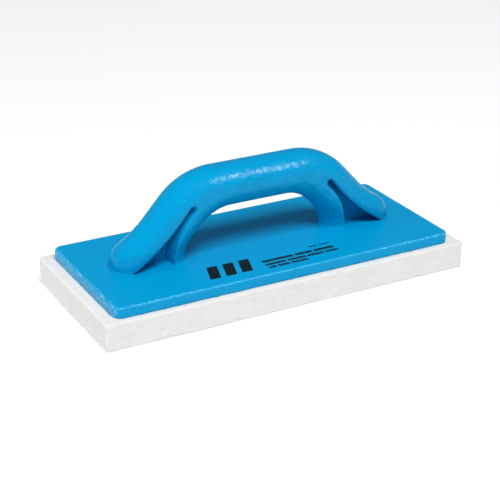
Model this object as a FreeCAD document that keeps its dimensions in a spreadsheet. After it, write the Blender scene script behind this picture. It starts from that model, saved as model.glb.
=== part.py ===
"""Grout float: a sponge pad bonded under a rigid backing plate with a moulded bridge handle.

Millimetres. +X runs along the float, +Y across it, +Z up. The origin is at the centre of the
sponge's working face. Each sub-part is a PartDesign body bound to the sheet of sizes.
"""
import FreeCAD, Part
import math
import os
import re
import Sketcher

os.makedirs("parts", exist_ok=True)
doc = FreeCAD.newDocument("grout_float")
vector = FreeCAD.Vector

SIZES = {
    # sponge and the film that bonds it
    "pad_length": 300.0,        # sponge pad, along X
    "pad_width": 130.0,         # sponge pad, along Y
    "pad_thick": 21.3,
    "pad_corner": 3.0,          # upright corners of the sponge
    "film_thick": 0.3,          # adhesive film
    "film_inset": 2.0,          # the film stops this far inside the plate's edge
    # backing plate
    "end_lip": 10.0,            # sponge that shows past each end of the plate
    "side_lip": 5.5,            # sponge that shows past each side of the plate
    "plate_thick": 8.0,
    "plate_corner": 7.0,        # upright corners of the plate
    "plate_rim": 1.8,           # rounding of the plate's top edge
    # grip and the finger window under it
    "grip_width": 32.0,         # width of the whole handle across Y
    "grip_height": 32.0,
    "grip_flat": 2.0,           # flat left between two rounded long edges
    "finger_gap": 34.6,         # plate to the underside of the grip
    "leg_rise": 0.1,            # an inner leg rises this far past its fillet before it curves
    "leg_thick": 17.2,          # inner leg, from the window to the gap behind it
    "least_ceiling": 2.0,       # shortest straight stretch left over the window, halved
    # outer legs and toes
    "toe_setback": 24.5,        # from the plate's end to the toe's end wall
    "pair_length": 60.7,        # from the toe's end wall to the inner leg's window side
    "shoulder_setback": 81.0,   # from the toe's end wall to the end of the straight top
    "shoulder_radius": 56.0,
    "instep_radius": 90.0,      # hollow curve that eases the leg into its toe
    "toe_crown": 3.7,           # how far the toe stands proud of the leg's slope
    "toe_margin": 0.6,          # the toe's radius beyond the rounding of the long edges
    "toe_rise": 2.0,            # the end wall rises this far past its fillet before it rounds
    # gap between the two legs of a pair, closed by a thin web on the middle plane
    "slit_width": 4.8,
    "slit_angle": 49.0,         # where the narrow end stops on the inner leg's curve, degrees
    "toe_wall": 8.5,            # from the gap's far end to the toe's end wall
    "hollow_radius": 160.0,     # underside of the outer leg
    "web_thick": 3.0,
    # soles: each pair of legs stands on one sole that is let into the plate
    "sole_depth": 3.0,
    "sole_margin": 1.0,         # sole beyond the fillet round the foot
    "foot_fillet": 2.5,
    "sole_fit": 0.05,           # clearance round a sole in its recess
    "leg_overrun": 30.0,        # the arch is drawn this far below the plate, then trimmed
    # printed marks on the plate
    "ink_thick": 0.15,
    "emblem_left": 61.0,        # from the middle to the emblem's left end
    "emblem_margin": 11.5,      # from the plate's front edge to the emblem
    "emblem_clear": 9.5,        # from the emblem to the soles
    "bar_width": 8.5,           # one slanted bar of the emblem
    "bar_pitch": 13.0,
    "bar_slant": 6.0,           # the bar's rear end lies this far to the right
    "rows_left": 14.0,          # from the middle to the left end of the rows of dashes
    "rows_margin": 8.5,         # from the plate's front edge to the front row
    "dash_space": 1.6,          # space between two dashes
}
EMBLEM_BARS = 3
# Rows of dashes: steps right and back from the front row's corner, depth, then the lengths.
DASH_ROWS = (
    (0.0, 0.0, 2.8, (6.0, 10.0, 14.0)),
    (0.0, 4.9, 2.8, (17.0, 15.0, 14.0, 11.0)),
    (0.0, 10.3, 3.4, (26.0, 15.0, 17.0)),
    (44.0, 18.6, 1.4, (7.0, 9.0)),
)

sheet = doc.addObject("Spreadsheet::Sheet", "sizes")
for row, (alias, value) in enumerate(SIZES.items(), start=1):
    sheet.set("A%d" % row, "%g" % value)
    sheet.setAlias("A%d" % row, alias)
doc.recompute()

# Sizes and places that several features share, in terms of the sheet.
PLATE_LENGTH = "(pad_length - 2 * end_lip)"
PLATE_WIDTH = "(pad_width - 2 * side_lip)"
PLATE_BOTTOM = "(pad_thick + film_thick)"
PLATE_TOP = "(%s + plate_thick)" % PLATE_BOTTOM
SOLE_BOTTOM = "(%s - sole_depth)" % PLATE_TOP
SOLE_REACH = "(foot_fillet + sole_margin)"
SOLE_HALF = "(grip_width / 2 + %s)" % SOLE_REACH
GRIP_UNDERSIDE = "(%s + finger_gap)" % PLATE_TOP
GRIP_TOP = "(%s + grip_height)" % GRIP_UNDERSIDE
GRIP_ROUND = "((min(grip_width; grip_height) - grip_flat) / 2)"
TOE_END = "(%s / 2 - toe_setback)" % PLATE_LENGTH
TOE_RADIUS = "(%s + toe_margin)" % GRIP_ROUND
TOE_HEIGHT = "(%s + foot_fillet + toe_rise)" % PLATE_TOP
TOP_FLAT = "(%s - shoulder_setback)" % TOE_END
FOOT_INNER = "(%s - pair_length)" % TOE_END
WINDOW_RADIUS = "min(finger_gap - foot_fillet - leg_rise; %s - least_ceiling)" % FOOT_INNER
WINDOW_CENTRE = "(%s - %s)" % (FOOT_INNER, WINDOW_RADIUS)
SPRING_HEIGHT = "(%s - %s)" % (GRIP_UNDERSIDE, WINDOW_RADIUS)
LEG_RADIUS = "(%s + leg_thick)" % WINDOW_RADIUS
GAP_END = "(%s - toe_wall)" % TOE_END
EMBLEM_FRONT = "(%s / 2 - emblem_margin)" % PLATE_WIDTH
EMBLEM_DEPTH = "(%s - %s - emblem_clear)" % (EMBLEM_FRONT, SOLE_HALF)


def linked(expression):
    """Point each size named in an expression at its cell."""
    return re.sub(r"[a-z]+_[a-z_]+", lambda name: "<<sizes>>." + name.group(), expression)


def value(expression):
    """The present value of an expression of the sheet."""
    return float(sheet.evalExpression(linked(expression)))


def bind(feature, prop, expression):
    feature.setExpression(prop, linked(expression))


def new_body(label):
    body = doc.addObject("PartDesign::Body", label)
    body.Label = label
    body.Placement = FreeCAD.Placement()
    return body


def new_sketch(body, name, plane, lift="0"):
    """A sketch on one of the body's own origin planes, raised along that plane's normal."""
    sketch = body.newObject("Sketcher::SketchObject", name)
    support = next(f for f in body.Origin.OriginFeatures if f.Role == plane)
    sketch.AttachmentSupport = [(support, "")]
    sketch.MapMode = "FlatFace"
    bind(sketch, "AttachmentOffset.Base.z", lift)
    return sketch


def dimension(sketch, kind, where, expression):
    """Add a dimension to a sketch and bind it to the sheet."""
    index = sketch.addConstraint(Sketcher.Constraint(kind, *where, value(expression)))
    bind(sketch, "Constraints[%d]" % index, expression)


def draw_loop(sketch, corners):
    """Straight edges round a closed loop of corners; returns the edges' numbers."""
    edges = []
    for index, start in enumerate(corners):
        end = corners[(index + 1) % len(corners)]
        edges.append(sketch.addGeometry(Part.LineSegment(start, end), False))
    for index, edge in enumerate(edges):
        follower = edges[(index + 1) % len(edges)]
        sketch.addConstraint(Sketcher.Constraint("Coincident", edge, 2, follower, 1))
    return edges


def draw_rectangle(sketch, left, right, front, back):
    """A rectangle whose four sides stand at expressions of the sheet."""
    west, east, south, north = (value(side) for side in (left, right, front, back))
    corners = [vector(west, south), vector(east, south), vector(east, north), vector(west, north)]
    bottom, side, top, other = draw_loop(sketch, corners)
    for edge in (bottom, top):
        sketch.addConstraint(Sketcher.Constraint("Horizontal", edge))
    for edge in (side, other):
        sketch.addConstraint(Sketcher.Constraint("Vertical", edge))
    dimension(sketch, "DistanceX", (-1, 1, bottom, 1), left)
    dimension(sketch, "DistanceX", (-1, 1, bottom, 2), right)
    dimension(sketch, "DistanceY", (-1, 1, bottom, 1), front)
    dimension(sketch, "DistanceY", (-1, 1, top, 1), back)


def pad_up(body, name, sketch, length):
    """Raise a sketch along its plane's normal."""
    pad = body.newObject("PartDesign::Pad", name)
    pad.Profile = sketch
    bind(pad, "Length", length)
    doc.recompute()
    return pad


def pad_both_ways(body, name, sketch, length):
    """Raise a sketch equally to both sides of its plane."""
    pad = body.newObject("PartDesign::Pad", name)
    pad.Profile = sketch
    pad.SideType = "Symmetric"
    bind(pad, "Length", length)
    doc.recompute()
    return pad


def cut(body, name, sketch, length, reverse=False, both_ways=False):
    """Cut a sketch out of the body and make sure that material went."""
    before = body.Shape.Volume
    pocket = body.newObject("PartDesign::Pocket", name)
    pocket.Profile = sketch
    pocket.Reversed = reverse
    if both_ways:
        pocket.SideType = "Symmetric"
    bind(pocket, "Length", length)
    doc.recompute()
    if not body.Shape.Volume < before - 1.0:
        raise RuntimeError("%s cuts nothing" % name)
    return pocket


def round_edges(body, name, base, radius, wanted):
    """Fillet the edges of a feature for which wanted(edge) is true."""
    names = ["Edge%d" % n for n, edge in enumerate(base.Shape.Edges, start=1) if wanted(edge)]
    if not names:
        raise RuntimeError("%s finds no edge" % name)
    fillet = body.newObject("PartDesign::Fillet", name)
    fillet.Base = (base, names)
    bind(fillet, "Radius", radius)
    doc.recompute()
    return fillet


def middle(edge):
    return edge.valueAt((edge.FirstParameter + edge.LastParameter) / 2)


def is_upright(edge):
    box = edge.BoundBox
    return box.XLength < 1e-6 and box.YLength < 1e-6


def lies_at_height(edge, height):
    box = edge.BoundBox
    return abs(box.ZMin - height) < 1e-6 and abs(box.ZMax - height) < 1e-6


# ---------------------------------------------------------------- sponge and film

def make_sponge_pad():
    """The plain block of foam that does the work."""
    body = new_body("sponge_pad")
    outline = new_sketch(body, "sponge_outline", "XY_Plane")
    draw_rectangle(outline, "-pad_length / 2", "pad_length / 2", "-pad_width / 2", "pad_width / 2")
    block = pad_up(body, "sponge_block", outline, "pad_thick")
    round_edges(body, "sponge_corners", block, "pad_corner", is_upright)
    return body


def make_adhesive_film():
    """Film of adhesive between the sponge and the plate."""
    body = new_body("adhesive_film")
    outline = new_sketch(body, "film_outline", "XY_Plane", "pad_thick")
    half_length = "%s / 2 - film_inset" % PLATE_LENGTH
    half_width = "%s / 2 - film_inset" % PLATE_WIDTH
    draw_rectangle(outline, "-(%s)" % half_length, half_length, "-(%s)" % half_width, half_width)
    layer = pad_up(body, "film_layer", outline, "film_thick")
    round_edges(body, "film_corners", layer, "plate_corner - film_inset", is_upright)
    return body


# ---------------------------------------------------------------- backing plate

def draw_soles(sketch, side, clearance):
    """Outline of one pair of legs' sole; side is 1 on the right and -1 on the left."""
    inner = "%s - %s - %s" % (FOOT_INNER, SOLE_REACH, clearance)
    outer = "%s + %s + %s" % (TOE_END, SOLE_REACH, clearance)
    half = "%s + %s" % (SOLE_HALF, clearance)
    if side > 0:
        draw_rectangle(sketch, inner, outer, "-(%s)" % half, half)
    else:
        draw_rectangle(sketch, "-(%s)" % outer, "-(%s)" % inner, "-(%s)" % half, half)


def make_backing_plate():
    """Rigid plate with a shallow recess for each sole."""
    body = new_body("backing_plate")
    outline = new_sketch(body, "plate_outline", "XY_Plane", PLATE_BOTTOM)
    half_length = PLATE_LENGTH + " / 2"
    half_width = PLATE_WIDTH + " / 2"
    draw_rectangle(outline, "-" + half_length, half_length, "-" + half_width, half_width)
    slab = pad_up(body, "plate_slab", outline, "plate_thick")
    corners = round_edges(body, "plate_corners", slab, "plate_corner", is_upright)
    top = value(PLATE_TOP)
    rim = round_edges(body, "plate_rounded_rim", corners, "plate_rim",
                      lambda edge: lies_at_height(edge, top))
    recesses = new_sketch(body, "recess_outlines", "XY_Plane", PLATE_TOP)
    draw_soles(recesses, 1, "sole_fit")
    draw_soles(recesses, -1, "sole_fit")
    recess = cut(body, "sole_recesses", recesses, "sole_depth")
    half = value(SOLE_HALF + " + sole_fit")
    round_edges(body, "recess_corners", recess, "%s + %s + sole_fit" % (GRIP_ROUND, SOLE_REACH),
                lambda edge: is_upright(edge) and abs(abs(middle(edge).y) - half) < 1e-6)
    return body


# ---------------------------------------------------------------- handle

def draw_arch(sketch):
    """Right half of the handle seen from the side, from the middle plane to the toe."""
    top, underside, spring, floor = (value(text) for text in (
        GRIP_TOP, GRIP_UNDERSIDE, SPRING_HEIGHT, PLATE_TOP + " - leg_overrun"))
    shoulder, instep, toe = (value(text) for text in (
        "shoulder_radius", "instep_radius", TOE_RADIUS))
    flat, end, inner = value(TOP_FLAT), value(TOE_END), value(FOOT_INNER)
    window = value(WINDOW_RADIUS)
    toe_height = value(TOE_HEIGHT)

    # Centres and joining points, worked out as first positions for the solver. The leg's
    # slope touches the shoulder and passes over the toe's centre at a set distance.
    shoulder_centre = vector(flat, top - shoulder)
    toe_centre = vector(end - toe, toe_height)
    offset = toe_centre - shoulder_centre
    passing = toe - value("toe_crown")
    lean = math.atan2(offset.y, offset.x) + math.acos((shoulder - passing) / offset.Length)
    out = vector(math.cos(lean), math.sin(lean))
    down = vector(math.sin(lean), -math.cos(lean))
    shoulder_end = shoulder_centre + out * shoulder
    rise = (toe_centre - shoulder_end).dot(out)
    along = (toe_centre - shoulder_end).dot(down)
    back = math.sqrt((instep + toe) ** 2 - (instep - rise) ** 2)
    slope_end = shoulder_end + down * (along - back)
    instep_centre = slope_end + out * instep
    toe_start = toe_centre + (instep_centre - toe_centre) * (toe / (instep + toe))
    window_centre = vector(inner - window, spring)

    def line(start, finish):
        return sketch.addGeometry(Part.LineSegment(start, finish), False)

    def arc(centre, radius, first, last):
        circle = Part.Circle(centre, vector(0, 0, 1), radius)
        angles = [math.atan2(p.y - centre.y, p.x - centre.x) for p in (first, last)]
        return sketch.addGeometry(Part.ArcOfCircle(circle, angles[0], angles[1]), False)

    crown = line(vector(0, top), vector(flat, top))
    shoulder_arc = arc(shoulder_centre, shoulder, shoulder_end, vector(flat, top))
    ramp = line(shoulder_end, slope_end)
    instep_arc = arc(instep_centre, instep, slope_end, toe_start)
    toe_arc = arc(toe_centre, toe, vector(end, toe_height), toe_start)
    end_wall = line(vector(end, toe_height), vector(end, floor))
    bottom = line(vector(end, floor), vector(inner, floor))
    inner_wall = line(vector(inner, floor), vector(inner, spring))
    window_arc = arc(window_centre, window, vector(inner, spring), vector(inner - window, underside))
    ceiling = line(vector(inner - window, underside), vector(0, underside))
    middle_edge = line(vector(0, underside), vector(0, top))

    for first, first_end, second, second_end in (
            (crown, 2, shoulder_arc, 2), (shoulder_arc, 1, ramp, 1), (ramp, 2, instep_arc, 1),
            (instep_arc, 2, toe_arc, 2), (toe_arc, 1, end_wall, 1), (inner_wall, 2, window_arc, 1),
            (window_arc, 2, ceiling, 1)):
        sketch.addConstraint(Sketcher.Constraint("Tangent", first, first_end, second, second_end))
    for first, first_end, second, second_end in (
            (end_wall, 2, bottom, 1), (bottom, 2, inner_wall, 1), (ceiling, 2, middle_edge, 1),
            (middle_edge, 2, crown, 1)):
        sketch.addConstraint(
            Sketcher.Constraint("Coincident", first, first_end, second, second_end))
    for edge in (crown, bottom, ceiling):
        sketch.addConstraint(Sketcher.Constraint("Horizontal", edge))
    for edge in (end_wall, inner_wall):
        sketch.addConstraint(Sketcher.Constraint("Vertical", edge))
    sketch.addConstraint(Sketcher.Constraint("PointOnObject", middle_edge, 1, -2))
    sketch.addConstraint(Sketcher.Constraint("PointOnObject", middle_edge, 2, -2))
    dimension(sketch, "DistanceY", (-1, 1, middle_edge, 2), GRIP_TOP)
    dimension(sketch, "DistanceY", (-1, 1, middle_edge, 1), GRIP_UNDERSIDE)
    dimension(sketch, "DistanceX", (-1, 1, crown, 2), TOP_FLAT)
    dimension(sketch, "Radius", (shoulder_arc,), "shoulder_radius")
    dimension(sketch, "Distance", (toe_arc, 3, ramp), TOE_RADIUS + " - toe_crown")
    dimension(sketch, "Radius", (instep_arc,), "instep_radius")
    dimension(sketch, "Radius", (toe_arc,), TOE_RADIUS)
    dimension(sketch, "DistanceX", (-1, 1, end_wall, 1), TOE_END)
    dimension(sketch, "DistanceY", (-1, 1, end_wall, 1), TOE_HEIGHT)
    dimension(sketch, "DistanceY", (-1, 1, bottom, 1), PLATE_TOP + " - leg_overrun")
    dimension(sketch, "DistanceX", (-1, 1, inner_wall, 2), FOOT_INNER)
    dimension(sketch, "DistanceY", (-1, 1, inner_wall, 2), SPRING_HEIGHT)


def draw_gap(sketch):
    """The gap between the legs: the inner leg's curve, the plate and the outer leg's underside."""
    spring, base = value(SPRING_HEIGHT), value(PLATE_TOP)
    inner = value(LEG_RADIUS)
    width, angle = value("slit_width"), math.radians(value("slit_angle"))
    centre = vector(value(WINDOW_CENTRE), spring)
    direction = vector(math.cos(angle), math.sin(angle))
    near = centre + direction * inner
    far = centre + direction * (inner + width)
    tip = vector(value(GAP_END), base)
    knee = centre + vector(inner, 0)

    leg_curve = sketch.addGeometry(
        Part.ArcOfCircle(Part.Circle(centre, vector(0, 0, 1), inner), 0, angle), False)
    narrow_end = sketch.addGeometry(Part.ArcOfCircle(
        Part.Circle((near + far) / 2, vector(0, 0, 1), width / 2), angle, angle + math.pi), False)
    chord = tip - far
    radius = value("hollow_radius")
    normal = vector(-chord.y, chord.x).normalize()
    height = math.sqrt(radius ** 2 - (chord.Length / 2) ** 2)
    bow_centre = (tip + far) / 2 + normal * height
    angles = [math.atan2(p.y - bow_centre.y, p.x - bow_centre.x) for p in (far, tip)]
    underside = sketch.addGeometry(Part.ArcOfCircle(
        Part.Circle(bow_centre, vector(0, 0, 1), radius), angles[0], angles[1]), False)
    ground = sketch.addGeometry(Part.LineSegment(tip, vector(knee.x, base)), False)
    foot = sketch.addGeometry(Part.LineSegment(vector(knee.x, base), knee), False)

    sketch.addConstraint(Sketcher.Constraint("Tangent", leg_curve, 2, narrow_end, 2))
    sketch.addConstraint(Sketcher.Constraint("Coincident", narrow_end, 1, underside, 1))
    sketch.addConstraint(Sketcher.Constraint("Coincident", underside, 2, ground, 1))
    sketch.addConstraint(Sketcher.Constraint("Coincident", ground, 2, foot, 1))
    sketch.addConstraint(Sketcher.Constraint("Tangent", foot, 2, leg_curve, 1))
    sketch.addConstraint(Sketcher.Constraint("Horizontal", ground))
    sketch.addConstraint(Sketcher.Constraint("Vertical", foot))
    dimension(sketch, "DistanceX", (-1, 1, leg_curve, 3), WINDOW_CENTRE)
    dimension(sketch, "DistanceY", (-1, 1, leg_curve, 3), SPRING_HEIGHT)
    dimension(sketch, "Radius", (leg_curve,), LEG_RADIUS)
    dimension(sketch, "Radius", (narrow_end,), "slit_width / 2")
    reach = "(%s + slit_width / 2)" % LEG_RADIUS
    dimension(sketch, "DistanceX", (leg_curve, 3, narrow_end, 3), reach + " * cos(slit_angle)")
    far_reach = "(%s + slit_width)" % LEG_RADIUS
    dimension(sketch, "DistanceX", (leg_curve, 3, narrow_end, 1), far_reach + " * cos(slit_angle)")
    dimension(sketch, "DistanceX", (-1, 1, ground, 1), GAP_END)
    dimension(sketch, "DistanceY", (-1, 1, ground, 1), PLATE_TOP)
    dimension(sketch, "Radius", (underside,), "hollow_radius")


def make_handle():
    """Grip, two pairs of legs with their webs, and the soles that are let into the plate."""
    body = new_body("handle")
    arch = new_sketch(body, "arch_profile", "XZ_Plane")
    draw_arch(arch)
    solid = pad_both_ways(body, "arch", arch, "grip_width")
    half = value("grip_width / 2")
    floor = value(PLATE_TOP + " - leg_overrun")

    def long_edge(edge):
        box = edge.BoundBox
        on_side = box.YLength < 1e-6 and abs(abs(box.YMin) - half) < 1e-6
        return on_side and box.XMax > 1e-6 and box.ZMax > floor + 1e-6

    rounded = round_edges(body, "arch_rounding", solid, GRIP_ROUND, long_edge)
    overrun = new_sketch(body, "overrun_outline", "XY_Plane", SOLE_BOTTOM)
    draw_rectangle(overrun, "0", TOE_END + " * 2", "-grip_width", "grip_width")
    cut(body, "overrun_trim", overrun, "leg_overrun * 2")

    sole = new_sketch(body, "sole_outline", "XY_Plane", SOLE_BOTTOM)
    draw_soles(sole, 1, "0")
    soled = pad_up(body, "sole", sole, "sole_depth")
    sole_half = value(SOLE_HALF)
    top = value(PLATE_TOP)

    def sole_corner(edge):
        return is_upright(edge) and abs(abs(middle(edge).y) - sole_half) < 1e-6

    sole_round = "%s + %s" % (GRIP_ROUND, SOLE_REACH)
    cornered = round_edges(body, "sole_corners", soled, sole_round, sole_corner)

    def foot_line(edge):
        if not lies_at_height(edge, top):
            return False
        faces = cornered.Shape.ancestorsOfType(edge, Part.Face)
        return max(face.BoundBox.ZMax for face in faces) > top + 1e-3

    round_edges(body, "foot_fillets", cornered, "foot_fillet", foot_line)
    gap = new_sketch(body, "gap_profile", "XZ_Plane")
    draw_gap(gap)
    cut(body, "leg_gap", gap, "grip_width * 2", both_ways=True)
    pad_both_ways(body, "web", gap, "web_thick")
    mirror = body.newObject("PartDesign::Mirrored", "left_side")
    mirror.TransformMode = "Whole shape"
    plane = next(f for f in body.Origin.OriginFeatures if f.Role == "YZ_Plane")
    mirror.MirrorPlane = (plane, [""])
    body.Tip = mirror
    doc.recompute()
    return body


# ---------------------------------------------------------------- printed marks

def make_emblem():
    """Plain emblem: slanted bars side by side."""
    body = new_body("printed_emblem")
    outline = new_sketch(body, "emblem_outline", "XY_Plane", PLATE_TOP)
    for index in range(EMBLEM_BARS):
        start = "-emblem_left + bar_pitch * %d" % index
        left, front = value(start), -value(EMBLEM_FRONT)
        width, depth, slant = value("bar_width"), value(EMBLEM_DEPTH), value("bar_slant")
        bottom, side, top, other = draw_loop(outline, [
            vector(left, front), vector(left + width, front),
            vector(left + width + slant, front + depth), vector(left + slant, front + depth)])
        outline.addConstraint(Sketcher.Constraint("Horizontal", bottom))
        outline.addConstraint(Sketcher.Constraint("Horizontal", top))
        dimension(outline, "DistanceX", (-1, 1, bottom, 1), start)
        dimension(outline, "DistanceY", (-1, 1, bottom, 1), "-" + EMBLEM_FRONT)
        dimension(outline, "DistanceX", (bottom, 1, bottom, 2), "bar_width")
        dimension(outline, "DistanceX", (other, 2, other, 1), "bar_slant")
        dimension(outline, "DistanceX", (side, 1, side, 2), "bar_slant")
        dimension(outline, "DistanceY", (side, 1, side, 2), EMBLEM_DEPTH)
    pad_up(body, "emblem_ink", outline, "ink_thick")
    return body


def make_dashes():
    """Rows of plain dashes where a maker would print lettering."""
    body = new_body("printed_lines")
    outline = new_sketch(body, "dash_outline", "XY_Plane", PLATE_TOP)
    for step_right, step_back, depth, lengths in DASH_ROWS:
        front = "rows_margin + %g - %s / 2" % (step_back, PLATE_WIDTH)
        used = step_right
        for index, length in enumerate(lengths):
            left = "-rows_left + %g + dash_space * %d" % (used, index)
            used += length
            draw_rectangle(outline, left, left + " + %g" % length, front, front + " + %g" % depth)
    pad_up(body, "dash_ink", outline, "ink_thick")
    return body


bodies = [make_sponge_pad(), make_adhesive_film(), make_backing_plate(), make_handle(),
          make_emblem(), make_dashes()]
doc.recompute()

for item in doc.Objects:
    if "Invalid" in item.State or "Error" in item.State:
        raise RuntimeError("%s failed: %s" % (item.Name, item.State))
for body in bodies:
    shape = body.Shape
    if shape.isNull() or not shape.isValid():
        raise RuntimeError("%s has no valid shape" % body.Label)
    box = shape.BoundBox
    print("%-15s solids %d  volume %9.1f  X %.1f..%.1f  Y %.1f..%.1f  Z %.2f..%.2f" % (
        body.Label, len(shape.Solids), shape.Volume, box.XMin, box.XMax, box.YMin, box.YMax,
        box.ZMin, box.ZMax))
for body in bodies:
    body.Shape.exportStep("parts/%s.step" % body.Label)
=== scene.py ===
# %% [markdown]
# # A grout float, built round its CAD frame
# A grout float is a block of open foam bonded under a stiff plate, with a bridge-shaped
# handle moulded in the same tough blue polymer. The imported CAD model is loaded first. It
# gives every size and place, and the foam and the handle are then modelled over it.

# %% Load the frame
import math
import bmesh
import bpy
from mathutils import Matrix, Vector


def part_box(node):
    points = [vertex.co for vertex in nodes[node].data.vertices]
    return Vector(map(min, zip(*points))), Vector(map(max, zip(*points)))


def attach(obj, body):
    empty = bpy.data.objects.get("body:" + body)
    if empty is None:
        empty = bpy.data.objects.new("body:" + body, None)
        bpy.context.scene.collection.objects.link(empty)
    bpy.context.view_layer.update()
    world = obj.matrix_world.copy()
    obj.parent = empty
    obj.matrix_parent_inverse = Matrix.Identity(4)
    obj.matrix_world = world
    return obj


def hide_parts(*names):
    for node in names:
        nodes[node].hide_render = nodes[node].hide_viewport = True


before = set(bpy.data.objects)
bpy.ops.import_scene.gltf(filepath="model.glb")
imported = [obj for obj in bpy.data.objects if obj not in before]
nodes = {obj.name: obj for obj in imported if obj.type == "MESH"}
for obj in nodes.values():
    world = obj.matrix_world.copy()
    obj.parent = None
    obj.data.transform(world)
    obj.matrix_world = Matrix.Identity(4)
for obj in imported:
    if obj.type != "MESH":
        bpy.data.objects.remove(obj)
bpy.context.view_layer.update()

MM = 0.001
print("CAD nodes:", sorted(nodes))

# %% [markdown]
# ## Camera first
# The camera stands to the front left, a little above the float, with a long lens. A long
# lens keeps the plate's edges nearly parallel. It is placed by an azimuth, an elevation and
# a distance round a point near the middle of the sponge, and turned by a very small roll, so
# that each of the four can be changed by itself.

# %% Place the camera
CAMERA_AZIMUTH = math.radians(-28.63)
CAMERA_ELEVATION = math.radians(24.4)
CAMERA_ROLL = math.radians(0.22)
CAMERA_DISTANCE = 1.0596
CAMERA_TARGET = Vector((-0.00146, 0.00273, 0.020))
CAMERA_LENS = 99.7

away = Vector((math.sin(CAMERA_AZIMUTH) * math.cos(CAMERA_ELEVATION),
               -math.cos(CAMERA_AZIMUTH) * math.cos(CAMERA_ELEVATION),
               math.sin(CAMERA_ELEVATION)))
camera_data = bpy.data.cameras.new("camera")
camera_data.lens = CAMERA_LENS
camera = bpy.data.objects.new("camera", camera_data)
bpy.context.scene.collection.objects.link(camera)
camera.location = CAMERA_TARGET + away * CAMERA_DISTANCE
camera.rotation_euler = (-away).to_track_quat("-Z", "Y").to_euler()
camera.rotation_euler.rotate_axis("Z", CAMERA_ROLL)
bpy.context.scene.camera = camera
print("camera at", [round(c, 3) for c in camera.location])

# %% [markdown]
# ## Helpers for modelling by hand
# Every new piece starts as a primitive and is shaped in edit mode. These few helpers do
# what a hand does with the mouse: start a clean selection, pick faces, edges or points by
# their place, and apply a modifier once it looks right.

# %% Selection and modifier helpers
def start(primitive, name, **where):
    """Add a primitive with nothing else selected, name it and lay its place into its mesh."""
    bpy.ops.object.select_all(action="DESELECT")
    primitive(**where)
    piece = bpy.context.object
    piece.name = piece.data.name = name
    bpy.ops.object.transform_apply(location=True, rotation=True, scale=True)
    return piece


def edit(piece):
    bpy.ops.object.select_all(action="DESELECT")
    piece.select_set(True)
    bpy.context.view_layer.objects.active = piece
    bpy.ops.object.mode_set(mode="EDIT")


def leave_edit():
    bpy.ops.object.mode_set(mode="OBJECT")


def pick(piece, kind, wanted):
    """In edit mode, select the VERT, EDGE or FACE elements for which wanted(element) is true."""
    bpy.ops.mesh.select_mode(type=kind)
    bpy.ops.mesh.select_all(action="DESELECT")
    mesh = bmesh.from_edit_mesh(piece.data)
    mesh.normal_update()
    elements = {"VERT": mesh.verts, "EDGE": mesh.edges, "FACE": mesh.faces}[kind]
    chosen = 0
    for element in elements:
        if wanted(element):
            element.select = True
            chosen += 1
    mesh.select_flush_mode()
    bmesh.update_edit_mesh(piece.data)
    return chosen


def middle(edge):
    return (edge.verts[0].co + edge.verts[1].co) / 2


def cube_between(name, low, high):
    return start(bpy.ops.mesh.primitive_cube_add, name, size=1, location=(low + high) / 2,
                 scale=high - low)


def is_upright(edge):
    return abs(edge.verts[0].co.z - edge.verts[1].co.z) > MM


def apply_modifier(piece, kind, **settings):
    """Add a modifier, set it and apply it."""
    bpy.ops.object.select_all(action="DESELECT")
    piece.select_set(True)
    bpy.context.view_layer.objects.active = piece
    modifier = piece.modifiers.new(kind.lower(), kind)
    for key, setting in settings.items():
        setattr(modifier, key, setting)
    bpy.ops.object.modifier_apply(modifier=modifier.name)


def tidy_normals(piece):
    """Merge doubled points and turn every face outwards."""
    edit(piece)
    bpy.ops.mesh.select_all(action="SELECT")
    bpy.ops.mesh.remove_doubles(threshold=0.01 * MM)
    bpy.ops.mesh.normals_make_consistent(inside=False)
    leave_edit()


def triangles(piece):
    return sum(len(face.vertices) - 2 for face in piece.data.polygons)


# %% [markdown]
# ## The handle, step 1: its outlines
# Seen from the side the handle is an arch. Its top runs straight, drops over a round
# shoulder into a steep leg, and eases through a hollow instep into a blunt toe. The window
# for the fingers is a straight ceiling with a quarter circle at each end. Straight stretches
# joined by tangent arcs describe both outlines with a handful of radii, which is how a
# toolmaker would draw them.

# %% Sizes of the arch
plate_low, plate_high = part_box("backing_plate")
handle_low, handle_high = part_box("handle")
plate_top = plate_high.z
arch_top = handle_high.z
SOLE_REACH = 3.5 * MM       # the sole stands this far out round each foot
FOOT_INNER = 54.8 * MM      # half the distance between the inner legs
HALF_THICK = handle_high.y - SOLE_REACH
GRIP_ROUNDING = HALF_THICK - 1.0 * MM       # bevel of the bar's long edges
WINDOW_RADIUS = 32.0 * MM
FINGER_GAP = 34.6 * MM      # plate to the underside of the grip
CEILING = plate_top + FINGER_GAP
TOP_FLAT = 34.5 * MM        # half the straight stretch of the top
SHOULDER_RADIUS = 56.0 * MM
LEG_SLOPE = math.radians(47.5)
INSTEP_RADIUS = 90.0 * MM
TOE_RADIUS = 15.0 * MM
TOE_SETBACK = 2.0 * MM      # from the sole's end to the toe's
TOE_RISE = 4.0 * MM         # the toe's arc has its centre this far above the plate
TOE_END = handle_high.x - TOE_SETBACK
TOE_CENTRE = Vector((TOE_END - TOE_RADIUS, 0, plate_top + TOE_RISE))
FOOT_START = plate_top + 0.9 * MM       # where the legs end and the fillet at the foot begins


def arc(centre, radius, first, last, steps):
    """Points on an arc in the XZ plane after its first point; angles in degrees from +X."""
    angles = [math.radians(first + (last - first) * step / steps) for step in range(1, steps + 1)]
    return [centre + Vector((math.cos(a), 0, math.sin(a))) * radius for a in angles]


def line(first, last, steps):
    return [first.lerp(last, step / steps) for step in range(1, steps + 1)]


def heading(centre, point):
    """Angle of a point round a centre, in degrees from +X, from 0 to 360."""
    offset = point - centre
    return math.degrees(math.atan2(offset.z, offset.x)) % 360


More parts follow.
